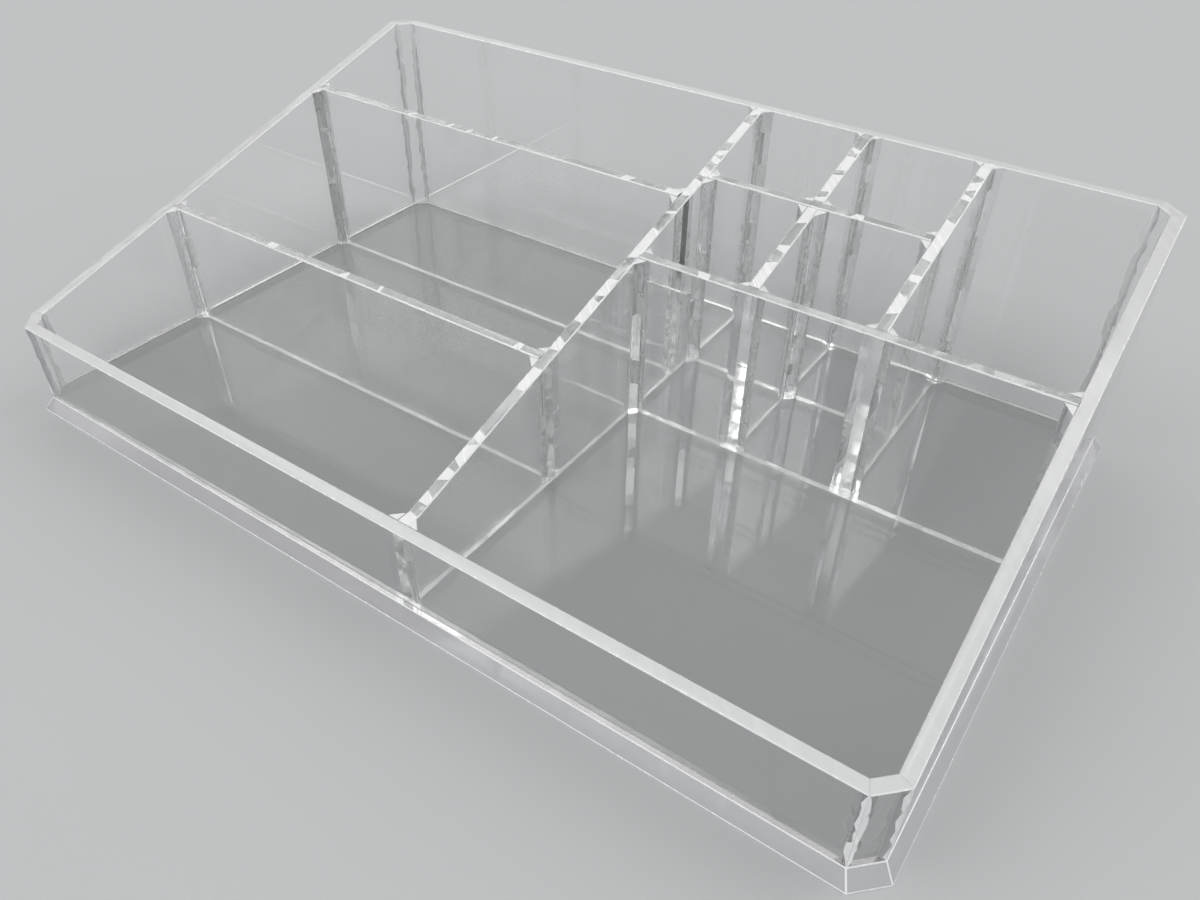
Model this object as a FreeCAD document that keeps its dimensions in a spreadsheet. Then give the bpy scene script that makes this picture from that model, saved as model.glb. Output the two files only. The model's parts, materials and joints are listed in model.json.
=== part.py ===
import FreeCAD, Part
import os
from collections import namedtuple

import Sketcher

# Clear acrylic counter-top organizer: a bevelled base plate that carries walls, dividers and corner beads.
# It rests on z = 0 with its base centred on the origin: +X runs to the right, +Y to the tall back, +Z up.
# Panels are drawn in the wall frame: its origin is the walls' outer front left corner on top of the base.

# Driving dimensions in millimetres
DIMENSIONS = {
    # Outside of the walls, above the base plate
    "wall_width": 300.0,
    "wall_depth": 189.0,
    "front_height": 27.5,
    "back_height": 78.0,
    "wall_thickness": 3.8,
    "corner_cut": 6.5,
    # Base plate, which stands out past the walls at its foot
    "base_thickness": 4.5,
    "base_flare": 3.0,
    "base_corner_cut": 7.4,
    "base_land": 0.6,
    # Dividers and the clear spaces between them; the left bays, the rear bay and the tray take the rest
    "divider_thickness": 3.5,
    "front_bay_depth": 59.0,
    "middle_bay_depth": 69.0,
    "tall_bay_width": 50.0,
    "cell_width": 35.0,
    "cell_depth": 35.3,
    # Share of the cell divider's height at which the two crossing sheets meet
    "lap_share": 0.5,
    # Beads in the compartments' corners, and how far a cut runs past its piece
    "bead_leg": 3.2,
    "overrun": 5.0,
}

document = FreeCAD.newDocument("organizer")
sheet = document.addObject("Spreadsheet::Sheet", "Sizes")
for row, (alias, value) in enumerate(DIMENSIONS.items(), start=1):
    sheet.set("A%d" % row, alias)
    sheet.set("B%d" % row, str(value))
    sheet.setAlias("B%d" % row, alias)
document.recompute()

# Expressions for single sizes
WIDTH = "Sizes.wall_width"
DEPTH = "Sizes.wall_depth"
WALL = "Sizes.wall_thickness"
DIVIDER = "Sizes.divider_thickness"
FRONT_HEIGHT = "Sizes.front_height"
BACK_HEIGHT = "Sizes.back_height"
BASE = "Sizes.base_thickness"
FLARE = "Sizes.base_flare"
CUT = "Sizes.corner_cut"
LEG = "Sizes.bead_leg"
OVERRUN = "Sizes.overrun"

# A corner strip turns each wall by 45 degrees, so its mitres lie at half of that turn
MITRE = "(%s + %s * tan(22.5 deg))" % (CUT, WALL)

# The sloping top edge runs between the mitres' inner ends at the front and at the back
SLOPE_START = MITRE
SLOPE_END = "(%s - %s)" % (DEPTH, MITRE)


def slope_height(place):
    """Expression for the sloping edge's height at a distance from the front."""
    rise = "(%s - %s)" % (BACK_HEIGHT, FRONT_HEIGHT)
    run = "(%s - %s)" % (SLOPE_END, SLOPE_START)
    return "(%s + %s * (%s - %s) / %s)" % (FRONT_HEIGHT, rise, place, SLOPE_START, run)


# A sheet's near and far faces, measured from the left or from the front, and its height where it is level
Panel = namedtuple("Panel", "near far height")


def divider_at(near, level):
    """A divider with its near face at a place; a level one meets the slope at its middle."""
    far = "(%s + %s)" % (near, DIVIDER)
    middle = "(%s + %s / 2)" % (near, DIVIDER)
    return Panel(near, far, slope_height(middle) if level else BACK_HEIGHT)


def divider_after(panel, clear_space, level):
    """A divider past a clear space from the far face of another sheet."""
    return divider_at("(%s + %s)" % (panel.far, clear_space), level)


def divider_before(panel, clear_space, level):
    """A divider that leaves a clear space up to the near face of another sheet."""
    return divider_at("(%s - %s - %s)" % (panel.near, clear_space, DIVIDER), level)


# Sheets that run from front to back
left_wall = Panel("0", WALL, BACK_HEIGHT)
right_wall = Panel("(%s - %s)" % (WIDTH, WALL), WIDTH, BACK_HEIGHT)
outer_column = divider_before(right_wall, "Sizes.tall_bay_width", level=False)
inner_column = divider_before(outer_column, "Sizes.cell_width", level=False)
centre = divider_before(inner_column, "Sizes.cell_width", level=False)

# Sheets that run from left to right
front_wall = Panel("0", WALL, FRONT_HEIGHT)
back_wall = Panel("(%s - %s)" % (DEPTH, WALL), DEPTH, BACK_HEIGHT)
low_divider = divider_after(front_wall, "Sizes.front_bay_depth", level=True)
high_divider = divider_after(low_divider, "Sizes.middle_bay_depth", level=True)
cell_divider = divider_before(back_wall, "Sizes.cell_depth", level=True)
tray_divider = divider_before(cell_divider, "Sizes.cell_depth", level=True)

# Compartments: the sheets at their left, right, front and back
Bay = namedtuple("Bay", "left right front back")
BAYS = {
    "front_bay": Bay(left_wall, centre, front_wall, low_divider),
    "middle_bay": Bay(left_wall, centre, low_divider, high_divider),
    "rear_bay": Bay(left_wall, centre, high_divider, back_wall),
    "tray": Bay(centre, right_wall, front_wall, tray_divider),
    "inner_front_cell": Bay(centre, inner_column, tray_divider, cell_divider),
    "outer_front_cell": Bay(inner_column, outer_column, tray_divider, cell_divider),
    "inner_rear_cell": Bay(centre, inner_column, cell_divider, back_wall),
    "outer_rear_cell": Bay(inner_column, outer_column, cell_divider, back_wall),
    "tall_bay": Bay(outer_column, right_wall, tray_divider, back_wall),
}

pieces = []

# How a sketch holds a point's two distances, and the axes that a point at zero lies on
KINDS = ("DistanceX", "DistanceY")
AXES = (-2, -1)


def new_body(name, frame_x, frame_y, frame_z):
    """A named piece whose own frame stands at the given place."""
    body = document.addObject("PartDesign::Body", name)
    body.Label = name
    body.setExpression("Placement.Base.x", frame_x)
    body.setExpression("Placement.Base.y", frame_y)
    body.setExpression("Placement.Base.z", frame_z)
    pieces.append(body)
    return body


def outline_sketch(body, name, plane_role, corners, offset="0"):
    """A closed outline through corners, each held at its distances from the sketch's origin."""
    sketch = body.newObject("Sketcher::SketchObject", name)
    plane = [item for item in body.Origin.OriginFeatures if item.Role == plane_role][0]
    sketch.AttachmentSupport = [(plane, "")]
    sketch.MapMode = "FlatFace"
    sketch.setExpression("AttachmentOffset.Base.z", offset)
    points = [FreeCAD.Vector(sheet.evalExpression(x), sheet.evalExpression(y), 0) for x, y in corners]
    count = len(points)
    for index in range(count):
        sketch.addGeometry(Part.LineSegment(points[index], points[(index + 1) % count]))
    for index in range(count):
        sketch.addConstraint(Sketcher.Constraint("Coincident", index, 2, (index + 1) % count, 1))
    for index, corner in enumerate(corners):
        for kind, axis, expression, place in zip(KINDS, AXES, corner, points[index]):
            if expression == "0":
                sketch.addConstraint(Sketcher.Constraint("PointOnObject", index, 1, axis))
                continue
            held = sketch.addConstraint(Sketcher.Constraint(kind, -1, 1, index, 1, place))
            sketch.setExpression("Constraints[%d]" % held, expression)
    return sketch


def add_pad(body, sketch, length):
    """Raises the outline by a length."""
    pad = body.newObject("PartDesign::Pad", body.Name + "_sheet")
    pad.Profile = sketch
    pad.setExpression("Length", length)
    document.recompute()
    return pad


def cut_through(body, name, plane_role, corners):
    """Cuts an outline through the whole piece, and tests that the cut took something away."""
    volume = body.Shape.Volume
    pocket = body.newObject("PartDesign::Pocket", name)
    pocket.Profile = outline_sketch(body, name + "_outline", plane_role, corners)
    pocket.Type = "ThroughAll"
    pocket.Midplane = True
    document.recompute()
    if body.Shape.Volume >= volume:
        raise RuntimeError("%s took nothing away" % name)


def standing_sheet(name, plan, height):
    """A sheet that stands on the base plate over its plan."""
    body = new_body(name, "-%s / 2" % WIDTH, "-%s / 2" % DEPTH, BASE)
    add_pad(body, outline_sketch(body, name + "_plan", "XY_Plane", plan), height)
    return body


def rectangle(across, along):
    """Corners of a rectangle from its low and high places across and along the sketch."""
    return [(across[0], along[0]), (across[1], along[0]), (across[1], along[1]), (across[0], along[1])]


def trim_to_slope(body):
    """Takes away what stands above the common sloping edge."""
    above = "(%s + %s)" % (BACK_HEIGHT, OVERRUN)
    corners = [
        ("0", FRONT_HEIGHT),
        (SLOPE_START, FRONT_HEIGHT),
        (SLOPE_END, BACK_HEIGHT),
        (SLOPE_END, above),
        ("0", above),
    ]
    cut_through(body, body.Name + "_slope", "YZ_Plane", corners)


def from_far_side(whole, place):
    """Expression for a place measured back from the far side."""
    return "(%s - %s)" % (whole, place)


def octagon(inset, width, depth, cut):
    """Corners of a rectangle with cut corners, set in from the sketch's origin."""
    far_x = "(%s + %s)" % (inset, width)
    far_y = "(%s + %s)" % (inset, depth)
    near_cut = "(%s + %s)" % (inset, cut)
    return [
        (near_cut, inset),
        (from_far_side(far_x, cut), inset),
        (far_x, near_cut),
        (far_x, from_far_side(far_y, cut)),
        (from_far_side(far_x, cut), far_y),
        (near_cut, far_y),
        (inset, from_far_side(far_y, cut)),
        (inset, near_cut),
    ]


def make_base_plate():
    """The base plate: a narrow upright land at the bottom, then a bevel up to the walls' outer faces."""
    body = new_body("base_plate", "-%s / 2 - %s" % (WIDTH, FLARE), "-%s / 2 - %s" % (DEPTH, FLARE), "0")
    foot_width = "(%s + 2 * %s)" % (WIDTH, FLARE)
    foot_depth = "(%s + 2 * %s)" % (DEPTH, FLARE)
    foot = octagon("0", foot_width, foot_depth, "Sizes.base_corner_cut")
    top = octagon(FLARE, WIDTH, DEPTH, CUT)
    add_pad(body, outline_sketch(body, "base_foot", "XY_Plane", foot), "Sizes.base_land")
    bevel = body.newObject("PartDesign::AdditiveLoft", "base_bevel")
    bevel.Profile = outline_sketch(body, "bevel_foot", "XY_Plane", foot, "Sizes.base_land")
    bevel.Sections = [outline_sketch(body, "bevel_top", "XY_Plane", top, BASE)]
    bevel.Ruled = True
    document.recompute()


def make_outer_walls():
    """Four walls between the mitred corner strips; the side walls follow the slope."""
    cut_x = from_far_side(WIDTH, CUT)
    cut_y = from_far_side(DEPTH, CUT)
    mitre_x = from_far_side(WIDTH, MITRE)
    mitre_y = from_far_side(DEPTH, MITRE)
    for name, panel, outer, inner in (
        ("front_wall", front_wall, front_wall.near, front_wall.far),
        ("back_wall", back_wall, back_wall.far, back_wall.near),
    ):
        plan = [(CUT, outer), (cut_x, outer), (mitre_x, inner), (MITRE, inner)]
        standing_sheet(name, plan, panel.height)
    for name, panel, outer, inner in (
        ("left_wall", left_wall, left_wall.near, left_wall.far),
        ("right_wall", right_wall, right_wall.far, right_wall.near),
    ):
        plan = [(outer, CUT), (inner, MITRE), (inner, mitre_y), (outer, cut_y)]
        trim_to_slope(standing_sheet(name, plan, panel.height))


def make_corner_strips():
    """Strips across the four outer corners, with mitred ends."""
    inner_corner = [(CUT, "0"), (MITRE, WALL), (WALL, MITRE), ("0", CUT)]
    for end, height in (("front", FRONT_HEIGHT), ("back", BACK_HEIGHT)):
        for side in ("left", "right"):
            plan = []
            for x, y in inner_corner:
                place_x = x if side == "left" else from_far_side(WIDTH, x)
                place_y = y if end == "front" else from_far_side(DEPTH, y)
                plan.append((place_x, place_y))
            standing_sheet("%s_%s_corner" % (end, side), plan, height)


def make_level_dividers():
    """Dividers from left to right, with level tops that meet the slope at mid-thickness."""
    spans = {
        "low_divider": (low_divider, left_wall, centre),
        "high_divider": (high_divider, left_wall, centre),
        "tray_divider": (tray_divider, centre, right_wall),
    }
    for name, (panel, left, right) in spans.items():
        plan = rectangle((left.far, right.near), (panel.near, panel.far))
        standing_sheet(name, plan, panel.height)


def make_sloping_dividers():
    """Dividers from front to back, with sloping tops."""
    spans = {
        "centre_divider": (centre, front_wall),
        "inner_column_divider": (inner_column, tray_divider),
        "outer_column_divider": (outer_column, tray_divider),
    }
    for name, (panel, front) in spans.items():
        plan = rectangle((panel.near, panel.far), (front.far, back_wall.near))
        trim_to_slope(standing_sheet(name, plan, panel.height))


def make_crossing():
    """The cell divider, half-lapped with the inner column divider, which it crosses."""
    lap_height = "(%s * Sizes.lap_share)" % cell_divider.height
    plan = rectangle((centre.far, outer_column.near), (cell_divider.near, cell_divider.far))
    crossing = standing_sheet("cell_divider", plan, cell_divider.height)
    lower_slot = rectangle((inner_column.near, inner_column.far), ("0", lap_height))
    cut_through(crossing, "cell_divider_slot", "XZ_Plane", lower_slot)
    upper_slot = rectangle(
        (cell_divider.near, cell_divider.far), (lap_height, "(%s + %s)" % (BACK_HEIGHT, OVERRUN)))
    column = document.getObject("inner_column_divider")
    cut_through(column, "inner_column_slot", "YZ_Plane", upper_slot)


def make_corner_beads():
    """A triangular bead in each corner of each compartment that has no corner strip."""
    for bay_name, bay in BAYS.items():
        for end in ("front", "back"):
            for side in ("left", "right"):
                cross = bay.front if end == "front" else bay.back
                upright = bay.left if side == "left" else bay.right
                if upright in (left_wall, right_wall) and cross in (front_wall, back_wall):
                    continue
                x = upright.far if side == "left" else upright.near
                y = cross.far if end == "front" else cross.near
                tip_x = "(%s %s %s)" % (x, "+" if side == "left" else "-", LEG)
                tip_y = "(%s %s %s)" % (y, "+" if end == "front" else "-", LEG)
                name = "%s_%s_%s_bead" % (bay_name, end, side)
                bead = standing_sheet(name, [(x, y), (tip_x, y), (x, tip_y)], cross.height)
                if end == "back" and cross is not back_wall:
                    trim_to_slope(bead)


def write_pieces():
    """Tests every feature and every piece, then writes each piece to its own file."""
    document.recompute()
    for item in document.Objects:
        if "Invalid" in item.State or "Error" in item.State:
            raise RuntimeError("%s failed: %s" % (item.Name, item.State))
    for piece in pieces:
        if piece.Shape.isNull() or not piece.Shape.isValid() or len(piece.Shape.Solids) != 1:
            raise RuntimeError("%s is not one valid solid" % piece.Label)
    os.makedirs("parts", exist_ok=True)
    for piece in pieces:
        piece.Shape.exportStep("parts/%s.step" % piece.Label)
    print("pieces written:", len(pieces))


make_base_plate()
make_outer_walls()
make_corner_strips()
make_sloping_dividers()
make_level_dividers()
make_crossing()
make_corner_beads()
write_pieces()
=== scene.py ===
import json
import logging
import math
import random
from dataclasses import dataclass
from enum import Enum, IntEnum
from typing import ClassVar

import bmesh
import bpy
from mathutils import Matrix, Quaternion, Vector, noise


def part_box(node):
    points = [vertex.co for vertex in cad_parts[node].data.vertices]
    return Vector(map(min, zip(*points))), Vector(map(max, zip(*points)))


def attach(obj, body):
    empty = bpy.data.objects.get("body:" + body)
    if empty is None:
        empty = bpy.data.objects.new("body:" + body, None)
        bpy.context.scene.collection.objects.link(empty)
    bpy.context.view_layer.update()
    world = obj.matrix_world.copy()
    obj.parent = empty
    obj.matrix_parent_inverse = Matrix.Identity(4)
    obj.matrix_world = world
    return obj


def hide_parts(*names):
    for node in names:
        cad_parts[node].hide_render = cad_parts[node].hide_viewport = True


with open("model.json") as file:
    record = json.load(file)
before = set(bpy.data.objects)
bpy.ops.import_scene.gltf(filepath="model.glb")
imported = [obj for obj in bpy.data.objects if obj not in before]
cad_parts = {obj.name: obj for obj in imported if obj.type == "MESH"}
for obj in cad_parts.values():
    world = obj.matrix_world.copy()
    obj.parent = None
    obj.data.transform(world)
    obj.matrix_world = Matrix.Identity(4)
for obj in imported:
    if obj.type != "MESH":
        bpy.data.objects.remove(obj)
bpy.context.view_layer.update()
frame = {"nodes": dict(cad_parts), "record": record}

# A clear acrylic counter-top organizer: a bevelled base plate, sheet walls and dividers with sawn top edges,
# and uneven corner beads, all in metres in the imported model's frame.

log = logging.getLogger("organizer")

MM = 0.001
ROOT = "root"
# Points nearer than this are one point.
SAME_PLACE = 0.001 * MM
UP = Vector((0.0, 0.0, 1.0))
SIDEWAYS = Vector((1.0, 0.0, 0.0))


class Zone(IntEnum):
    """Surface zones of an acrylic piece, in the order of its materials."""

    POLISHED = 0
    CUT = 1
    ARRIS = 2
    JOINT = 3
    FOOT = 4


class Slot(Enum):
    """The record's material slots."""

    SHEET = "clear_sheet"
    BASE = "clear_base"
    BEAD = "clear_bead"


Colour = tuple[float, float, float]
Materials = list[bpy.types.Material]
Term = float | bpy.types.NodeSocket

WHITE: Colour = (1.0, 1.0, 1.0)


def opaque(colour: Colour) -> tuple[float, float, float, float]:
    """A colour with full opacity, as a colour socket takes it."""
    return (*colour, 1.0)


class Wiring:
    """Adds nodes to one shader tree and links them."""

    # A mix node has a set of sockets for each type of data, and these are its colours.
    first_colour: ClassVar[int] = 6
    second_colour: ClassVar[int] = 7
    mixed_colour: ClassVar[int] = 2

    def __init__(self, tree: bpy.types.NodeTree) -> None:
        """Keeps the tree that the nodes go into."""
        self.tree = tree

    def add(self, kind: str, values: dict | None = None, **settings: object) -> bpy.types.Node:
        """Adds a node, sets it up and fills its inputs.

        Args:
            kind: The node's type name.
            values: Input names or numbers, each with a plain value or a socket to link from.
            settings: Properties of the node itself.

        Returns:
            The new node.
        """
        node = self.tree.nodes.new(kind)
        for name, value in settings.items():
            setattr(node, name, value)
        for name, value in (values or {}).items():
            if isinstance(value, bpy.types.NodeSocket):
                self.tree.links.new(value, node.inputs[name])
            else:
                node.inputs[name].default_value = value
        return node

    def math(self, operation: str, *values: Term) -> bpy.types.NodeSocket:
        """The result of one sum, with sockets or plain numbers as its terms."""
        return self.add("ShaderNodeMath", dict(enumerate(values)), operation=operation).outputs[0]

    def spread(self, value: bpy.types.NodeSocket, low: float, high: float,
               start: Term = 0.0, end: Term = 1.0) -> bpy.types.NodeSocket:
        """Stretches a range of a value smoothly over another range.

        Args:
            value: The socket to read.
            low: The value that gives start.
            high: The value that gives end.
            start: Lowest result, a number or a socket.
            end: Highest result, a number or a socket.

        Returns:
            The stretched value, held within start and end.
        """
        values = {"Value": value, "From Min": low, "From Max": high, "To Min": start, "To Max": end}
        return self.add("ShaderNodeMapRange", values, interpolation_type="SMOOTHSTEP").outputs["Result"]

    def blend(self, share: bpy.types.NodeSocket, first: Colour, second: Colour) -> bpy.types.NodeSocket:
        """A colour between two, by a share that changes over the surface."""
        values = {"Factor": share, self.first_colour: opaque(first), self.second_colour: opaque(second)}
        return self.add("ShaderNodeMix", values, data_type="RGBA").outputs[self.mixed_colour]

    def place(self) -> bpy.types.NodeSocket:
        """The point's place in the part's own frame, in metres."""
        return self.add("ShaderNodeTexCoord").outputs["Object"]


class EffectGroup:
    """A shader node group with named inputs and outputs, built once and shared by materials."""

    def __init__(self, name: str, inputs: dict[str, float], outputs: list[str]) -> None:
        """Makes an empty group.

        Args:
            name: The group's name.
            inputs: Names of its number inputs, with their defaults.
            outputs: Names of its number outputs.
        """
        self.tree = bpy.data.node_groups.new(name, "ShaderNodeTree")
        for title, value in inputs.items():
            socket = self.tree.interface.new_socket(title, in_out="INPUT", socket_type="NodeSocketFloat")
            socket.default_value = value
        for title in outputs:
            self.tree.interface.new_socket(title, in_out="OUTPUT", socket_type="NodeSocketFloat")
        self.wiring = Wiring(self.tree)
        self.given = self.wiring.add("NodeGroupInput").outputs
        self.result = self.wiring.add("NodeGroupOutput").inputs

    def give(self, title: str, socket: bpy.types.NodeSocket) -> None:
        """Links a socket to one of the group's outputs."""
        self.tree.links.new(socket, self.result[title])

    def use(self, wiring: Wiring, values: dict[str, float]) -> bpy.types.bpy_prop_collection:
        """Places the group in a material.

        Args:
            wiring: The material's tree.
            values: Input names, with the material's own values.

        Returns:
            The placed group's outputs.
        """
        node = wiring.add("ShaderNodeGroup", node_tree=self.tree)
        for title, value in values.items():
            node.inputs[title].default_value = value
        return node.outputs


# How finely a texture breaks up.
PLAIN = 1.0
UNEVEN = 2.0
CLOUDY = 3.0

# The part of a texture's range over which an effect comes up, or a round spot fades out.
SMUDGE_RANGE = (0.5, 0.78)
SCRATCH_RANGE = (0.70, 0.74)
SPECK_RANGE = (0.03, 0.075)
SPECK_CHOICE = (0.62, 0.66)
STREAK_RANGE = (0.42, 0.66)
STRETCH_RANGE = (0.38, 0.62)
BUBBLE_RANGE = (0.22, 0.42)
MILK_RANGE = (0.40, 0.60)

SMUDGES_PER_METRE = 24.0
SPECKS_PER_METRE = 190.0
SWELLS_PER_METRE = 16.0
STREAKS_PER_METRE = 700.0
STRETCHES_PER_METRE = 60.0
BUBBLES_PER_METRE = 420.0
PATCHES_PER_METRE = 130.0
SCRATCHES_ACROSS = 1500.0
SCRATCH_TILT = 0.4
# Turn of each family of scratches, and how often they break along their run, per metre.
SCRATCH_RUNS = ((0.5, 26.0), (-0.9, 40.0))
# Shares of x, y and z in the length that a sheet edge's streaks are counted along.
EDGE_RUN = (1.0, 0.87, 0.45)
# Share of the streaks that is left on the clean stretches of an edge.
CLEAN_STREAKS = 0.15
BUBBLE_MILK = 0.7


def handling_marks() -> EffectGroup:
    """Builds the group for smudges, hairline scratches and specks of dust on a polished face.

    Returns:
        The group, which gives the marks and the face's slight waviness.
    """
    group = EffectGroup(
        "handling_marks",
        {"Smudges": 0.5, "Scratches": 0.5, "Specks": 0.5, "Smudge Scale": SMUDGES_PER_METRE},
        ["Marks", "Waviness"],
    )
    wiring = group.wiring
    place = wiring.place()
    cloud = wiring.add("ShaderNodeTexNoise", {
        "Vector": place, "Scale": group.given["Smudge Scale"], "Detail": CLOUDY})
    smudged = wiring.spread(cloud.outputs[0], *SMUDGE_RANGE)
    total = wiring.math("MULTIPLY", smudged, group.given["Smudges"])
    for turn, along in SCRATCH_RUNS:
        turned = wiring.add("ShaderNodeMapping", {
            "Vector": place,
            "Rotation": (SCRATCH_TILT, turn, turn),
            "Scale": (along, SCRATCHES_ACROSS, SCRATCHES_ACROSS),
        })
        lines = wiring.add("ShaderNodeTexNoise", {"Vector": turned.outputs[0], "Scale": 1.0, "Detail": PLAIN})
        scratch = wiring.spread(lines.outputs[0], *SCRATCH_RANGE)
        total = wiring.math("ADD", total, wiring.math("MULTIPLY", scratch, group.given["Scratches"]))
    cells = wiring.add("ShaderNodeTexVoronoi", {"Vector": place, "Scale": SPECKS_PER_METRE})
    near = wiring.spread(cells.outputs["Distance"], *SPECK_RANGE, start=1.0, end=0.0)
    chosen = wiring.spread(cells.outputs["Color"], *SPECK_CHOICE)
    specks = wiring.math("MULTIPLY", wiring.math("MULTIPLY", near, chosen), group.given["Specks"])
    group.give("Marks", wiring.math("ADD", total, specks))
    swell = wiring.add("ShaderNodeTexNoise", {"Vector": place, "Scale": SWELLS_PER_METRE, "Detail": PLAIN})
    group.give("Waviness", swell.outputs[0])
    return group


def saw_streaks() -> EffectGroup:
    """Builds the group for the cross streaks that a saw leaves along a sheet's cut edge.

    Returns:
        The group, which gives the streaks and the edge's height.
    """
    group = EffectGroup(
        "saw_streaks",
        {"Streak Scale": STREAKS_PER_METRE, "Patch Scale": STRETCHES_PER_METRE},
        ["Streaks", "Height"],
    )
    wiring = group.wiring
    along = wiring.add(
        "ShaderNodeVectorMath", {0: wiring.place(), 1: EDGE_RUN}, operation="DOT_PRODUCT").outputs["Value"]
    fine = wiring.add(
        "ShaderNodeTexNoise", {"W": along, "Scale": group.given["Streak Scale"], "Detail": UNEVEN},
        noise_dimensions="1D")
    broad = wiring.add(
        "ShaderNodeTexNoise", {"W": along, "Scale": group.given["Patch Scale"], "Detail": PLAIN},
        noise_dimensions="1D")
    stretches = wiring.spread(broad.outputs[0], *STRETCH_RANGE, start=CLEAN_STREAKS, end=1.0)
    streaks = wiring.math("MULTIPLY", wiring.spread(fine.outputs[0], *STREAK_RANGE), stretches)
    group.give("Streaks", streaks)
    group.give("Height", wiring.math("MULTIPLY", fine.outputs[0], stretches))
    return group


def weld_bubbles() -> EffectGroup:
    """Builds the group for the bubbles and milky patches of a solvent-welded joint.

    Returns:
        The group, which gives how milky the joint is.
    """
    group = EffectGroup(
        "weld_bubbles",
        {"Bubble Scale": BUBBLES_PER_METRE, "Patch Scale": PATCHES_PER_METRE},
        ["Milk"],
    )
    wiring = group.wiring
    place = wiring.place()
    cells = wiring.add("ShaderNodeTexVoronoi", {"Vector": place, "Scale": group.given["Bubble Scale"]})
    bubbles = wiring.spread(cells.outputs["Distance"], *BUBBLE_RANGE, start=1.0, end=0.0)
    cloud = wiring.add("ShaderNodeTexNoise", {
        "Vector": place, "Scale": group.given["Patch Scale"], "Detail": UNEVEN})
    patches = wiring.spread(cloud.outputs[0], *MILK_RANGE)
    group.give("Milk", wiring.math("MAXIMUM", wiring.math("MULTIPLY", bubbles, BUBBLE_MILK), patches))
    return group


@dataclass(frozen=True)
class Acrylic:
    """What every clear surface shares.

    Attributes:
        name: The material's name.
        clear: Colour of the unmarked surface.
        marked: Colour where the marks are strongest.
        transmission: Share of the light that goes through.
        smooth: Roughness of the unmarked surface.
        rough: Roughness where the marks are strongest.
        relief: Height of the marks.
        shade: Share of a lamp's light that one surface passes.
    """

    name: str
    clear: Colour
    marked: Colour
    transmission: float
    smooth: float
    rough: float
    relief: float
    shade: Colour = (0.972, 0.975, 0.975)

    refraction: ClassVar[float] = 1.49

    def dress(self, wiring: Wiring, share: bpy.types.NodeSocket, height: bpy.types.NodeSocket) -> None:
        """Fills the tree with one shader whose colour, roughness and relief follow the marks.

        Args:
            wiring: The material's tree.
            share: How marked each place is, from 0 to 1.
            height: Height of the surface, as a share of the relief.
        """
        bump = wiring.add("ShaderNodeBump", {"Height": height, "Distance": self.relief})
        shader = wiring.add("ShaderNodeBsdfPrincipled", {
            "Base Color": wiring.blend(share, self.clear, self.marked),
            "Roughness": wiring.spread(share, 0.0, 1.0, self.smooth, self.rough),
            "Normal": bump.outputs[0],
            "IOR": self.refraction,
            "Transmission Weight": self.transmission,
        })
        passed = wiring.add("ShaderNodeBsdfTransparent", {"Color": opaque(self.shade)})
        rays = wiring.add("ShaderNodeLightPath")
        both = wiring.add("ShaderNodeMixShader", {
            "Fac": rays.outputs["Is Shadow Ray"], 1: shader.outputs[0], 2: passed.outputs[0]})
        wiring.add("ShaderNodeOutputMaterial", {"Surface": both.outputs[0]})

    def start(self) -> tuple[bpy.types.Material, Wiring]:
        """Makes an empty material of this name.

        Returns:
            The material and the wiring of its tree.
        """
        material = bpy.data.materials.new(self.name)
        material.use_nodes = True
        material.node_tree.nodes.clear()
        return material, Wiring(material.node_tree)


@dataclass(frozen=True)
class PolishedFace(Acrylic):
    """A smooth face, with faint handling marks.

    Attributes:
        smudges: Strength of the finger smudges.
        scratches: Strength of the hairline scratches.
        specks: Strength of the dust.
    """

    smudges: float = 0.2
    scratches: float = 0.05
    specks: float = 0.25

    def material(self, marks: EffectGroup) -> bpy.types.Material:
        """Makes the material.

        Args:
            marks: The group of the handling marks.

        Returns:
            The finished material.
        """
        material, wiring = self.start()
        values = {"Smudges": self.smudges, "Scratches": self.scratches, "Specks": self.specks}
        result = marks.use(wiring, values)
        self.dress(wiring, result["Marks"], result["Waviness"])
        return material


@dataclass(frozen=True)
class CutEdge(Acrylic):
    """A sawn or scraped edge, streaked across its run.

    Attributes:
        streak_scale: Streaks in a metre.
        patch_scale: Streaky stretches in a metre.
    """

    streak_scale: float = STREAKS_PER_METRE
    patch_scale: float = STRETCHES_PER_METRE

    def material(self, streaks: EffectGroup) -> bpy.types.Material:
        """Makes the material.

        Args:
            streaks: The group of the saw streaks.

        Returns:
            The finished material.
        """
        material, wiring = self.start()
        result = streaks.use(wiring, {"Streak Scale": self.streak_scale, "Patch Scale": self.patch_scale})
        self.dress(wiring, result["Streaks"], result["Height"])
        return material


@dataclass(frozen=True)
class WeldFace(Acrylic):
    """A joint face, milky where the solvent dried and bubbly where it ran thin.

    Attributes:
        bubble_scale: Bubbles in a metre.
        patch_scale: Milky patches in a metre.
    """

    bubble_scale: float = BUBBLES_PER_METRE
    patch_scale: float = PATCHES_PER_METRE

    def material(self, bubbles: EffectGroup) -> bpy.types.Material:
        """Makes the material.

        Args:
            bubbles: The group of the weld bubbles.

        Returns:
            The finished material.
        """
        material, wiring = self.start()
        result = bubbles.use(wiring, {"Bubble Scale": self.bubble_scale, "Patch Scale": self.patch_scale})
        self.dress(wiring, result["Milk"], result["Milk"])
        return material


# Share of a lamp's light that one sawn, scraped or milky surface passes.
WORKED_SHADE: Colour = (0.82, 0.825, 0.83)

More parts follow.
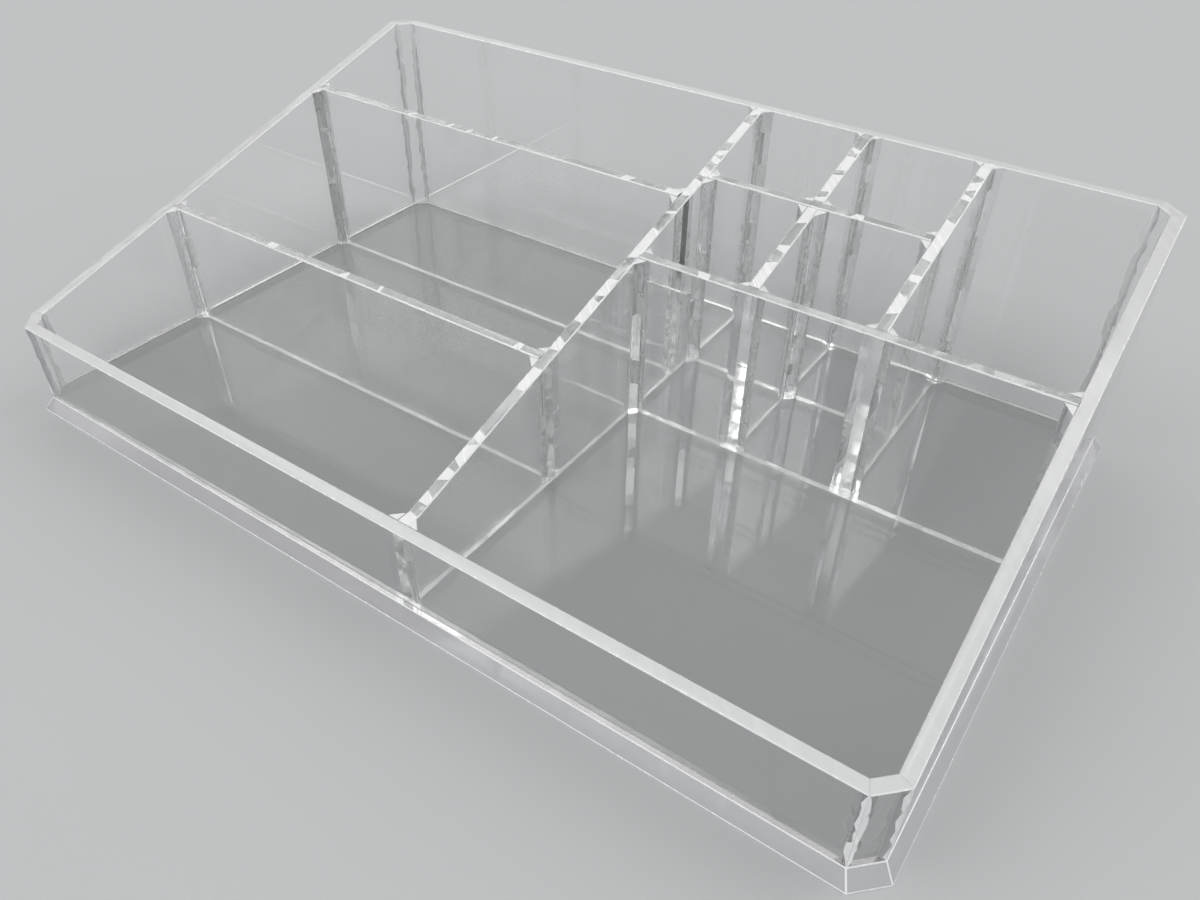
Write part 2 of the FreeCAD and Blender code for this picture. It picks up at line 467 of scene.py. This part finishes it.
SHEET_FACE = PolishedFace(
    name="polished_sheet", clear=(0.985, 0.99, 0.989), marked=(0.94, 0.95, 0.955),
    transmission=1.0, smooth=0.008, rough=0.12, relief=0.01 * MM)
BASE_FACE = PolishedFace(
    name="polished_base", clear=(0.985, 0.99, 0.989), marked=(0.93, 0.94, 0.95),
    transmission=1.0, smooth=0.01, rough=0.14, relief=0.01 * MM, smudges=0.25, scratches=0.06, specks=0.3)
UNDERSIDE = PolishedFace(
    name="scuffed_underside", clear=(0.98, 0.985, 0.985), marked=(0.97, 0.97, 0.975),
    transmission=0.95, smooth=0.02, rough=0.08, relief=0.01 * MM, smudges=0.3, scratches=0.06, specks=0.4)
BEVELLED_RIM = PolishedFace(
    name="bevelled_rim", clear=(0.94, 0.94, 0.975), marked=(0.955, 0.955, 0.98),
    transmission=0.7, smooth=0.1, rough=0.3, relief=0.02 * MM, shade=WORKED_SHADE,
    smudges=0.6, scratches=0.02, specks=0.15)
BEAD_FACET = PolishedFace(
    name="bead_facet", clear=(0.975, 0.985, 0.985), marked=(0.96, 0.965, 0.975),
    transmission=1.0, smooth=0.01, rough=0.12, relief=0.02 * MM, smudges=0.3, scratches=0.03, specks=0.2)
SAWN_EDGE = CutEdge(
    name="sawn_edge", clear=(0.965, 0.973, 0.972), marked=(0.97, 0.98, 0.98),
    transmission=0.94, smooth=0.02, rough=0.09, relief=0.006 * MM, shade=WORKED_SHADE)
SATIN_EDGE = CutEdge(
    name="satin_edge", clear=(0.94, 0.947, 0.95), marked=(0.98, 0.985, 0.985),
    transmission=0.42, smooth=0.06, rough=0.2, relief=0.006 * MM, shade=WORKED_SHADE,
    streak_scale=260.0, patch_scale=30.0)
SCRAPED_ARRIS = CutEdge(
    name="scraped_arris", clear=(0.93, 0.935, 0.945), marked=(0.985, 0.985, 0.99),
    transmission=0.2, smooth=0.15, rough=0.35, relief=0.01 * MM, shade=WORKED_SHADE,
    streak_scale=400.0, patch_scale=45.0)
CLEAR_JOINT = WeldFace(
    name="clear_joint", clear=(0.975, 0.983, 0.983), marked=(0.95, 0.955, 0.96),
    transmission=1.0, smooth=0.01, rough=0.2, relief=0.004 * MM)
BUBBLY_JOINT = WeldFace(
    name="bubbly_joint", clear=(0.88, 0.875, 0.92), marked=(0.99, 0.99, 0.995),
    transmission=0.6, smooth=0.05, rough=0.25, relief=0.2 * MM, shade=WORKED_SHADE,
    bubble_scale=230.0, patch_scale=70.0)
MILKY_FOOT = WeldFace(
    name="milky_foot", clear=(0.91, 0.92, 0.925), marked=(0.975, 0.98, 0.98),
    transmission=0.55, smooth=0.15, rough=0.45, relief=0.02 * MM, shade=WORKED_SHADE)


class FinishBook:
    """All acrylic materials of the organizer, made once."""

    def __init__(self) -> None:
        """Builds the shared effects, then one material for each finish."""
        marks = handling_marks()
        streaks = saw_streaks()
        bubbles = weld_bubbles()
        self.sheet = SHEET_FACE.material(marks)
        self.base = BASE_FACE.material(marks)
        self.underside = UNDERSIDE.material(marks)
        self.rim = BEVELLED_RIM.material(marks)
        self.facet = BEAD_FACET.material(marks)
        self.sawn = SAWN_EDGE.material(streaks)
        self.satin = SATIN_EDGE.material(streaks)
        self.arris = SCRAPED_ARRIS.material(streaks)
        self.joint = CLEAR_JOINT.material(bubbles)
        self.bubbly = BUBBLY_JOINT.material(bubbles)
        self.foot = MILKY_FOOT.material(bubbles)


def zones_beside(element: bmesh.types.BMVert | bmesh.types.BMEdge) -> set[int]:
    """The zones of the faces that meet at a corner or an edge."""
    return {face.material_index for face in element.link_faces}


def cut_zones(solid: bmesh.types.BMesh, zones: tuple[int, ...], place: Vector, normal: Vector) -> None:
    """Cuts the faces of some zones along a plane.

    Args:
        solid: The shape to cut.
        zones: Material numbers of the faces that are cut.
        place: A point of the plane.
        normal: The plane's direction.
    """
    faces = [face for face in solid.faces if face.material_index in zones]
    chosen = set(faces)
    edges = [edge for edge in solid.edges if chosen.intersection(edge.link_faces)]
    verts = [vertex for vertex in solid.verts if chosen.intersection(vertex.link_faces)]
    bmesh.ops.bisect_plane(
        solid, geom=[*verts, *edges, *faces], plane_co=place, plane_no=normal, dist=SAME_PLACE)


def place_key(place: Vector) -> tuple[int, ...]:
    """A place in whole steps along x, y and z, to sort by."""
    return tuple(round(value / SAME_PLACE) for value in place)


def settle_order(solid: bmesh.types.BMesh) -> None:
    """Puts a shape's corners and faces in the order of their places, so that every run draws alike.

    Args:
        solid: The shape.
    """
    corners = sorted(solid.verts, key=lambda vertex: place_key(vertex.co))
    faces = sorted(solid.faces, key=lambda face: place_key(face.calc_center_median()))
    for elements in (corners, faces):
        for number, element in enumerate(elements):
            element.index = number
    solid.verts.sort()
    solid.faces.sort()


def ring_of(face: bmesh.types.BMFace) -> list[int]:
    """The numbers of a face's corners in turn, from the lowest on.

    Args:
        face: A face of a shape whose order is settled.

    Returns:
        The corners' numbers.
    """
    numbers = [vertex.index for vertex in face.verts]
    first = numbers.index(min(numbers))
    return numbers[first:] + numbers[:first]


@dataclass
class SubAssembly:
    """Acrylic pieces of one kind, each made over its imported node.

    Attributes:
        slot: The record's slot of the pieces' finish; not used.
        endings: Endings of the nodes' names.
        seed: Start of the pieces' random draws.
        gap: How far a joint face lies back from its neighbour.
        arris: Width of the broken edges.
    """

    slot: Slot
    endings: tuple[str, ...]
    seed: int
    gap: float = 0.03 * MM
    arris: float = 0.28 * MM

    flat_angle: ClassVar[float] = math.radians(0.5)
    # Upright part of a face's direction from which it is a top, and below which it is an underside.
    upward: ClassVar[float] = 0.3
    downward: ClassVar[float] = -0.9
    corner_faces: ClassVar[int] = 3
    joined: ClassVar[tuple[Zone, ...]] = (Zone.JOINT, Zone.FOOT)

    def nodes(self) -> list[str]:
        """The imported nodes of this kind, in the record's order."""
        return [part["node"] for part in frame["record"]["subparts"] if part["node"].endswith(self.endings)]

    def whole_faces(self, node: str) -> bmesh.types.BMesh:
        """Copies a node's mesh with whole flat faces in place of its triangles.

        Args:
            node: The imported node.

        Returns:
            The copied shape.
        """
        solid = bmesh.new()
        solid.from_mesh(frame["nodes"][node].data)
        bmesh.ops.remove_doubles(solid, verts=solid.verts, dist=SAME_PLACE)
        bmesh.ops.dissolve_limit(solid, angle_limit=self.flat_angle, verts=solid.verts, edges=solid.edges)
        bmesh.ops.recalc_face_normals(solid, faces=solid.faces)
        return solid

    def mark_zones(self, solid: bmesh.types.BMesh) -> None:
        """Sorts the faces of a shape into their zones."""
        raise NotImplementedError

    def draw_back_joints(self, solid: bmesh.types.BMesh) -> None:
        """Draws the joint faces back by the gap, with each corner kept on its other faces.

        Args:
            solid: The shape, with three faces at each corner.
        """
        places = {}
        for vertex in solid.verts:
            faces = vertex.link_faces[:self.corner_faces]
            offsets = []
            for face in faces:
                back = self.gap if face.material_index in self.joined else 0.0
                offsets.append(face.normal.dot(vertex.co) - back)
            places[vertex] = Matrix([face.normal for face in faces]).inverted() @ Vector(offsets)
        for vertex, place in places.items():
            vertex.co = place

    def chosen_edges(self, solid: bmesh.types.BMesh) -> list[bmesh.types.BMEdge]:
        """The edges of a shape that are broken."""
        return list(solid.edges)

    def break_edges(self, solid: bmesh.types.BMesh) -> None:
        """Breaks the chosen edges, and marks the narrow faces that this leaves.

        Args:
            solid: The shape.
        """
        made = bmesh.ops.bevel(
            solid, geom=self.chosen_edges(solid), offset=self.arris, segments=1, affect="EDGES",
            clamp_overlap=True)
        for face in made["faces"]:
            face.material_index = Zone.ARRIS

    def keep_within(self, solid: bmesh.types.BMesh, node: str) -> None:
        """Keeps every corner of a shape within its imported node's box.

        Args:
            solid: The shape.
            node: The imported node.
        """
        low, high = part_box(node)
        for vertex in solid.verts:
            for axis, value in enumerate(vertex.co):
                vertex.co[axis] = min(max(value, low[axis]), high[axis])

    def work_by_hand(self, solid: bmesh.types.BMesh, node: str, seed: int) -> None:
        """Adds the unevenness of hand work to a shape, where its kind has any."""

    def materials(self, book: FinishBook) -> Materials:
        """The materials of this kind, in the order of the zones."""
        raise NotImplementedError

    def dress(self, solid: bmesh.types.BMesh, node: str, materials: Materials) -> bpy.types.Object:
        """Turns a shape into a piece that stands for its node.

        Args:
            solid: The finished shape, which is used up.
            node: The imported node.
            materials: Materials in the order of the zones.

        Returns:
            The new piece.
        """
        settle_order(solid)
        mesh = bpy.data.meshes.new(node + "_acrylic")
        mesh.from_pydata([vertex.co for vertex in solid.verts], [], [ring_of(face) for face in solid.faces])
        mesh.polygons.foreach_set("material_index", [face.material_index for face in solid.faces])
        solid.free()
        for material in materials:
            mesh.materials.append(material)
        piece = bpy.data.objects.new(node + "_acrylic", mesh)
        bpy.context.collection.objects.link(piece)
        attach(piece, ROOT)
        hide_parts(node)
        return piece

    def build(self, book: FinishBook) -> list[bpy.types.Object]:
        """Makes and dresses every piece of this kind.

        Args:
            book: The acrylic materials.

        Returns:
            The pieces, in the record's order.
        """
        pieces = []
        materials = self.materials(book)
        for count, node in enumerate(self.nodes()):
            solid = self.whole_faces(node)
            self.mark_zones(solid)
            self.draw_back_joints(solid)
            self.break_edges(solid)
            self.keep_within(solid, node)
            self.work_by_hand(solid, node, self.seed + count)
            pieces.append(self.dress(solid, node, materials))
        return pieces


@dataclass
class BasePlate(SubAssembly):
    """The base plate, with a bevelled rim and broken edges all round."""

    slot: Slot = Slot.BASE
    endings: tuple[str, ...] = ("base_plate",)
    seed: int = 0
    arris: float = 0.22 * MM

    joined: ClassVar[tuple[Zone, ...]] = ()

    def mark_zones(self, solid: bmesh.types.BMesh) -> None:
        """Sorts the faces: broad above, the underside as a joint, and the rim all round.

        Args:
            solid: The plate's shape.
        """
        for face in solid.faces:
            if face.normal.z <= self.downward:
                zone = Zone.JOINT
            else:
                zone = Zone.POLISHED if face.normal.z >= -self.downward else Zone.CUT
            face.material_index = zone

    def materials(self, book: FinishBook) -> Materials:
        """The plate's materials, in the order of the zones."""
        return [book.base, book.rim, book.arris, book.underside]


@dataclass
class SheetSet(SubAssembly):
    """Upright sheets whose scraped top edges are chipped unevenly along their run.

    Attributes:
        chip_step: Mean length of one chip.
        chip_depth: Most that a chip widens the broken edge.
        patch_length: How far chipped and clean stretches follow each other.
        scraped_shares: Mean shares of the top that the scraper left white, on sheets along x and along y.
        slant: Most that a chip's end leans from square.
    """

    chip_step: float = 2.4 * MM
    chip_depth: float = 0.3 * MM
    patch_length: float = 22.0 * MM
    scraped_shares: tuple[float, float] = (0.08, 0.62)
    slant: float = math.radians(30.0)

    broad_share: ClassVar[float] = 0.5
    chip_layer: ClassVar[float] = 0.0
    scrape_layer: ClassVar[float] = 1.0
    broken: ClassVar[tuple[Zone, ...]] = (Zone.CUT,)
    edge_zones: ClassVar[tuple[Zone, ...]] = (Zone.CUT, Zone.ARRIS)
    step_spread: ClassVar[tuple[float, float]] = (0.4, 1.6)
    chip_bias: ClassVar[float] = 0.35
    least_chip: ClassVar[float] = 0.1
    chip_power: ClassVar[int] = 2

    def mark_zones(self, solid: bmesh.types.BMesh) -> None:
        """Sorts the faces: a foot below, a cut edge on top, joints at the ends, broad faces at the sides.

        Args:
            solid: The sheet's shape.
        """
        upright = [face.calc_area() for face in solid.faces if self.downward < face.normal.z < self.upward]
        least_broad = max(upright) * self.broad_share
        for face in solid.faces:
            if face.normal.z >= self.upward:
                zone = Zone.CUT
            elif face.normal.z <= self.downward:
                zone = Zone.FOOT
            else:
                zone = Zone.POLISHED if face.calc_area() > least_broad else Zone.JOINT
            face.material_index = zone

    def chosen_edges(self, solid: bmesh.types.BMesh) -> list[bmesh.types.BMEdge]:
        """The long edges where the broad faces meet the cut top or, on some kinds, the foot.

        Args:
            solid: The sheet's shape.

        Returns:
            The edges that are broken.
        """
        edges = []
        for edge in solid.edges:
            zones = zones_beside(edge)
            upright = all(abs(face.normal.z) < self.upward for face in edge.link_faces)
            if Zone.POLISHED in zones and zones.intersection(self.broken) and not upright:
                edges.append(edge)
        return edges

    def run(self, node: str) -> int:
        """The axis that a sheet runs along."""
        low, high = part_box(node)
        return 0 if high[0] - low[0] > high[1] - low[1] else 1

    def cut_across(self, solid: bmesh.types.BMesh, node: str, draw: random.Random) -> None:
        """Cuts a sheet's top edge across at uneven steps, so that it has places to chip.

        Args:
            solid: The sheet's shape.
            node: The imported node.
            draw: Source of the random draws.
        """
        low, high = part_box(node)
        axis = self.run(node)
        across = Vector.Fill(len(UP))
        across[axis] = 1.0
        middle = (Vector(low) + Vector(high)) / 2
        place = low[axis] + self.chip_step
        while place < high[axis] - self.chip_step:
            middle[axis] = place
            lean = Matrix.Rotation(draw.uniform(-self.slant, self.slant), len(UP), UP)
            cut_zones(solid, self.edge_zones, middle, lean @ across)
            place += self.chip_step * draw.uniform(*self.step_spread)

    def work_by_hand(self, solid: bmesh.types.BMesh, node: str, seed: int) -> None:
        """Chips the broken edges down the sides and in over the top, and scrapes stretches of the top.

        Args:
            solid: The sheet's shape.
            node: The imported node.
            seed: Start of the sheet's random draws.
        """
        draw = random.Random(seed)
        self.cut_across(solid, node, draw)
        settle_order(solid)
        low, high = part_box(node)
        axis = self.run(node)
        side = 1 - axis
        middle = (low[side] + high[side]) / 2
        for vertex in solid.verts:
            zones = zones_beside(vertex)
            if Zone.ARRIS not in zones or zones.intersection(self.joined):
                continue
            patch = noise.noise(Vector((vertex.co[axis] / self.patch_length, seed, self.chip_layer)))
            share = min(max(patch + self.chip_bias, self.least_chip), 1.0)
            depth = self.chip_depth * share * draw.random() ** self.chip_power
            if Zone.POLISHED in zones:
                vertex.co.z -= depth
            else:
                vertex.co[side] += math.copysign(depth, middle - vertex.co[side])
        for face in solid.faces:
            place = face.calc_center_median()[axis] / self.patch_length
            patch = noise.noise(Vector((place, seed, self.scrape_layer)))
            scraped = draw.random() < self.scraped_shares[axis] * (1.0 + patch)
            if face.material_index == Zone.CUT and scraped:
                face.material_index = Zone.ARRIS


@dataclass
class OuterShell(SheetSet):
    """The four walls and four corner strips, with clear welded feet and lumpy seams at the corners.

    Attributes:
        lump_step: Mean length of one lump along a seam.
        lump_width: Most that a lump widens a seam.
    """

    slot: Slot = Slot.SHEET
    endings: tuple[str, ...] = ("_wall", "_corner")
    seed: int = 11
    chip_depth: float = 0.12 * MM
    scraped_shares: tuple[float, float] = (0.0, 0.0)
    lump_step: float = 2.2 * MM
    lump_width: float = 1.4 * MM

    broken: ClassVar[tuple[Zone, ...]] = (Zone.CUT, Zone.FOOT)
    seam_zones: ClassVar[tuple[Zone, ...]] = (Zone.ARRIS,)

    def chosen_edges(self, solid: bmesh.types.BMesh) -> list[bmesh.types.BMEdge]:
        """The long edges at top and foot, and the upright edges along the seams."""
        seams = [edge for edge in solid.edges if zones_beside(edge) == {Zone.POLISHED, Zone.JOINT}]
        return super().chosen_edges(solid) + seams

    def work_by_hand(self, solid: bmesh.types.BMesh, node: str, seed: int) -> None:
        """Chips the top, then widens the seams' broken edges into uneven lumps.

        Args:
            solid: The sheet's shape.
            node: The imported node.
            seed: Start of the sheet's random draws.
        """
        super().work_by_hand(solid, node, seed)
        draw = random.Random(node)
        low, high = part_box(node)
        height = low[2] + self.lump_step
        while height < high[2] - self.lump_step:
            cut_zones(solid, self.seam_zones, UP * height, UP)
            height += self.lump_step * draw.uniform(*self.step_spread)
        settle_order(solid)
        for vertex in solid.verts:
            upright = all(abs(face.normal.z) < self.upward for face in vertex.link_faces)
            if not upright or zones_beside(vertex) != {Zone.POLISHED, Zone.ARRIS}:
                continue
            face = next(face for face in vertex.link_faces if face.material_index == Zone.POLISHED)
            along = face.normal.cross(UP).normalized()
            inward = along.dot(face.calc_center_median() - vertex.co)
            width = self.lump_width * draw.random()
            vertex.co += along * math.copysign(width, inward)

    def materials(self, book: FinishBook) -> Materials:
        """The walls' materials, in the order of the zones."""
        return [book.sheet, book.satin, book.arris, book.bubbly, book.joint]


@dataclass
class DividerGrid(SheetSet):
    """The dividers, sawn and scraped on top, with milky feet."""

    slot: Slot = Slot.SHEET
    endings: tuple[str, ...] = ("_divider",)
    seed: int = 31

    def materials(self, book: FinishBook) -> Materials:
        """The dividers' materials, in the order of the zones."""
        return [book.sheet, book.sawn, book.arris, book.joint, book.foot]


@dataclass
class BeadSet(SubAssembly):
    """The triangular beads in the compartments' corners, laid by hand, so that their facets waver.

    Attributes:
        waver_step: Mean length between a facet's changes.
        waver_depth: How far a facet's edges wander towards the corner.
        milky_share: Share of the joint faces where the solvent dried white.
    """

    slot: Slot = Slot.BEAD
    endings: tuple[str, ...] = ("_bead",)
    seed: int = 51
    arris: float = 0.35 * MM
    waver_step: float = 7.0 * MM
    waver_depth: float = 0.5 * MM
    milky_share: float = 0.35

    side_zones: ClassVar[tuple[Zone, ...]] = (Zone.POLISHED, Zone.ARRIS, Zone.JOINT)
    end_zones: ClassVar[tuple[Zone, ...]] = (Zone.CUT, Zone.FOOT)
    least_slant: ClassVar[float] = 0.3
    first_step: ClassVar[tuple[float, float]] = (0.4, 1.0)
    step_spread: ClassVar[tuple[float, float]] = (0.3, 1.7)

    def mark_zones(self, solid: bmesh.types.BMesh) -> None:
        """Sorts the faces: a clear slanting facet, a cut top, a foot below, and joints on the sheets.

        Args:
            solid: The bead's shape.
        """
        for face in solid.faces:
            slanting = min(abs(face.normal.x), abs(face.normal.y)) > self.least_slant
            if face.normal.z >= self.upward:
                zone = Zone.CUT
            elif face.normal.z <= self.downward:
                zone = Zone.FOOT
            else:
                zone = Zone.POLISHED if slanting else Zone.JOINT
            face.material_index = zone

    def chosen_edges(self, solid: bmesh.types.BMesh) -> list[bmesh.types.BMEdge]:
        """The two long edges where the facet runs out on the sheets."""
        return [edge for edge in solid.edges if zones_beside(edge) == {Zone.POLISHED, Zone.JOINT}]

    def cut_across(self, solid: bmesh.types.BMesh, node: str, draw: random.Random) -> None:
        """Cuts a bead's sides across at uneven heights, so that it has places to waver.

        Args:
            solid: The bead's shape.
            node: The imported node.
            draw: Source of the random draws.
        """
        low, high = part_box(node)
        height = low[2] + self.waver_step * draw.uniform(*self.first_step)
        while height < high[2] - self.waver_step:
            cut_zones(solid, self.side_zones, UP * height, UP)
            height += self.waver_step * draw.uniform(*self.step_spread)

    def work_by_hand(self, solid: bmesh.types.BMesh, node: str, seed: int) -> None:
        """Moves the facet's edges in and out, and dulls some stretches of the joints.

        Args:
            solid: The bead's shape.
            node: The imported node.
            seed: Start of the bead's random draws.
        """
        draw = random.Random(seed)
        facet = next(face for face in solid.faces if face.material_index == Zone.POLISHED)
        outward = Vector((math.copysign(1.0, facet.normal.x), math.copysign(1.0, facet.normal.y), 0.0))
        self.cut_across(solid, node, draw)
        settle_order(solid)
        low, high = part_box(node)
        centre = (Vector(low) + Vector(high)) / 2
        for vertex in solid.verts:
            zones = zones_beside(vertex)
            if Zone.ARRIS not in zones or zones.intersection(self.end_zones):
                continue
            offset = vertex.co - centre
            axis = 0 if offset.x * outward.x > offset.y * outward.y else 1
            wave = noise.noise(Vector((vertex.co.z / self.waver_step, axis, seed)))
            vertex.co[axis] -= outward[axis] * self.waver_depth * (1.0 + wave) / 2
        for face in solid.faces:
            if face.material_index == Zone.JOINT and draw.random() < self.milky_share:
                face.material_index = Zone.FOOT

    def materials(self, book: FinishBook) -> Materials:
        """The beads' materials, in the order of the zones."""
        return [book.facet, book.arris, book.arris, book.joint, book.foot]


@dataclass(frozen=True)
class Glow:
    """A soft-edged lamp of the studio, far from the object.

    Attributes:
        toward: Direction of its middle, seen from the object.
        core: Angle from its middle up to which it shines fully.
        reach: Angle from its middle at which it has faded out.
        strength: Light at its middle.
    """

    toward: tuple[float, float, float]
    core: float
    reach: float
    strength: float


OVERHEAD = Glow(
    toward=(-0.3, 0.4, 0.87), core=math.radians(10.0), reach=math.radians(70.0), strength=0.46)
FRONT_RIGHT = Glow(
    toward=(0.31, -0.67, 0.67), core=math.radians(12.0), reach=math.radians(28.0), strength=2.8)
BACK_RIGHT = Glow(
    toward=(0.52, 0.56, 0.64), core=math.radians(12.0), reach=math.radians(28.0), strength=3.0)
FRONT_LEFT = Glow(
    toward=(-0.52, -0.56, 0.64), core=math.radians(10.0), reach=math.radians(26.0), strength=2.5)


@dataclass
class Studio:
    """Pale floor, soft lamps and the camera at the place the picture is taken from.

    Attributes:
        floor_reach: Half the floor's length.
        floor_drop: How far the floor lies under the base plate.
        floor_colour: The floor's colour.
        floor_shade: Share of that colour in its darker clouds.
        floor_clouds: Clouds in a metre.
        cloud_detail: How finely the clouds break up.
        cloud_range: The part of the clouds' range over which the floor gets duller.
        floor_rough: Least and most roughness of the floor.
        room_light: Light of the dark part of the room.
        backdrop_light: Light of the pale backdrop.
        backdrop_top: Elevation up to which the backdrop is pale.
        backdrop_end: Elevation at which the room is dark.
        glows: The lamps.
        eye: The camera's place.
        turn: The camera's turn about the upright axis.
        tilt: How far the camera looks down.
        roll: The camera's turn about its own line of sight.
        lens: The camera's focal length in millimetres.
        sensor: The camera's sensor width in millimetres.
        near: Nearest distance that the camera sees.
        bounces: Most times that light is followed through the sheets.
        glints: Most times that light is followed from shine to shine.
        shadow_sheets: Most surfaces that a lamp's light passes.
    """

    floor_reach: float = 30.0
    floor_drop: float = 0.05 * MM
    floor_colour: Colour = (0.53, 0.54, 0.545)
    floor_shade: float = 0.97
    floor_clouds: float = 9.0
    cloud_detail: float = 4.0
    cloud_range: tuple[float, float] = (0.3, 0.7)
    floor_rough: tuple[float, float] = (0.85, 0.95)
    room_light: float = 0.06
    backdrop_light: float = 0.54
    backdrop_top: float = math.radians(14.0)
    backdrop_end: float = math.radians(26.0)
    glows: tuple[Glow, ...] = (OVERHEAD, FRONT_RIGHT, BACK_RIGHT, FRONT_LEFT)
    eye: tuple[float, float, float] = (158.5 * MM, -210.4 * MM, 203.0 * MM)
    turn: float = math.radians(34.24)
    tilt: float = math.radians(39.42)
    roll: float = math.radians(0.77)
    lens: float = 29.5
    sensor: float = 36.0
    near: float = 10.0 * MM
    bounces: int = 24
    glints: int = 16
    shadow_sheets: int = 64

    def build_floor(self) -> None:
        """Lays the floor just under the base plate."""
        reach = self.floor_reach
        mesh = bpy.data.meshes.new("studio_floor")
        corners = [(-reach, -reach), (reach, -reach), (reach, reach), (-reach, reach)]
        mesh.from_pydata([(x, y, -self.floor_drop) for x, y in corners], [], [(0, 1, 2, 3)])
        material = bpy.data.materials.new("pale_floor")
        material.use_nodes = True
        material.node_tree.nodes.clear()
        wiring = Wiring(material.node_tree)
        cloud = wiring.add("ShaderNodeTexNoise", {
            "Vector": wiring.place(), "Scale": self.floor_clouds, "Detail": self.cloud_detail})
        darker = tuple(value * self.floor_shade for value in self.floor_colour)
        shader = wiring.add("ShaderNodeBsdfPrincipled", {
            "Base Color": wiring.blend(cloud.outputs[0], self.floor_colour, darker),
            "Roughness": wiring.spread(cloud.outputs[0], *self.cloud_range, *self.floor_rough),
            "Specular IOR Level": 0.0,
        })
        wiring.add("ShaderNodeOutputMaterial", {"Surface": shader.outputs[0]})
        mesh.materials.append(material)
        floor = bpy.data.objects.new("studio_floor", mesh)
        bpy.context.collection.objects.link(floor)

    def build_light(self) -> None:
        """Lights the room: a pale backdrop all round, and soft lamps above it."""
        world = bpy.data.worlds.new("studio_room")
        bpy.context.scene.world = world
        world.use_nodes = True
        world.node_tree.nodes.clear()
        wiring = Wiring(world.node_tree)
        direction = wiring.add("ShaderNodeTexCoord").outputs["Generated"]
        height = wiring.add("ShaderNodeSeparateXYZ", {0: direction}).outputs["Z"]
        total = wiring.spread(
            height, math.sin(self.backdrop_top), math.sin(self.backdrop_end),
            self.backdrop_light, self.room_light)
        for glow in self.glows:
            toward = Vector(glow.toward).normalized()
            facing = wiring.add(
                "ShaderNodeVectorMath", {0: direction, 1: toward}, operation="DOT_PRODUCT").outputs["Value"]
            shine = wiring.spread(facing, math.cos(glow.reach), math.cos(glow.core), 0.0, glow.strength)
            total = wiring.math("ADD", total, shine)
        room = wiring.add("ShaderNodeBackground", {"Color": opaque(WHITE), "Strength": total})
        wiring.add("ShaderNodeOutputWorld", {"Surface": room.outputs[0]})

    def build_camera(self) -> None:
        """Sets the camera up at its place, without a depth of field."""
        data = bpy.data.cameras.new("photo_camera")
        data.sensor_width = self.sensor
        data.lens = self.lens
        data.clip_start = self.near
        camera = bpy.data.objects.new("photo_camera", data)
        level = Quaternion(UP, self.turn) @ Quaternion(SIDEWAYS, math.pi / 2 - self.tilt)
        camera.rotation_mode = "QUATERNION"
        camera.rotation_quaternion = level @ Quaternion(UP, self.roll)
        camera.location = self.eye
        bpy.context.collection.objects.link(camera)
        bpy.context.scene.camera = camera

    def build(self) -> None:
        """Sets up the floor, the light, the camera and the picture's colours."""
        self.build_floor()
        self.build_light()
        self.build_camera()
        scene = bpy.context.scene
        scene.view_settings.view_transform = "Standard"
        scene.cycles.max_bounces = self.bounces
        scene.cycles.transmission_bounces = self.bounces
        scene.cycles.glossy_bounces = self.glints
        scene.cycles.transparent_max_bounces = self.shadow_sheets
        scene.cycles.caustics_reflective = False
        scene.cycles.caustics_refractive = False


def main() -> None:
    """Builds the organizer and its studio, and logs each piece's face count."""
    logging.basicConfig(level=logging.INFO, format="%(message)s")
    book = FinishBook()
    for assembly in (BasePlate(), OuterShell(), DividerGrid(), BeadSet()):
        for piece in assembly.build(book):
            log.info("%s: %d faces", piece.name, len(piece.data.polygons))
    Studio().build()


if __name__ == "__main__":
    main()
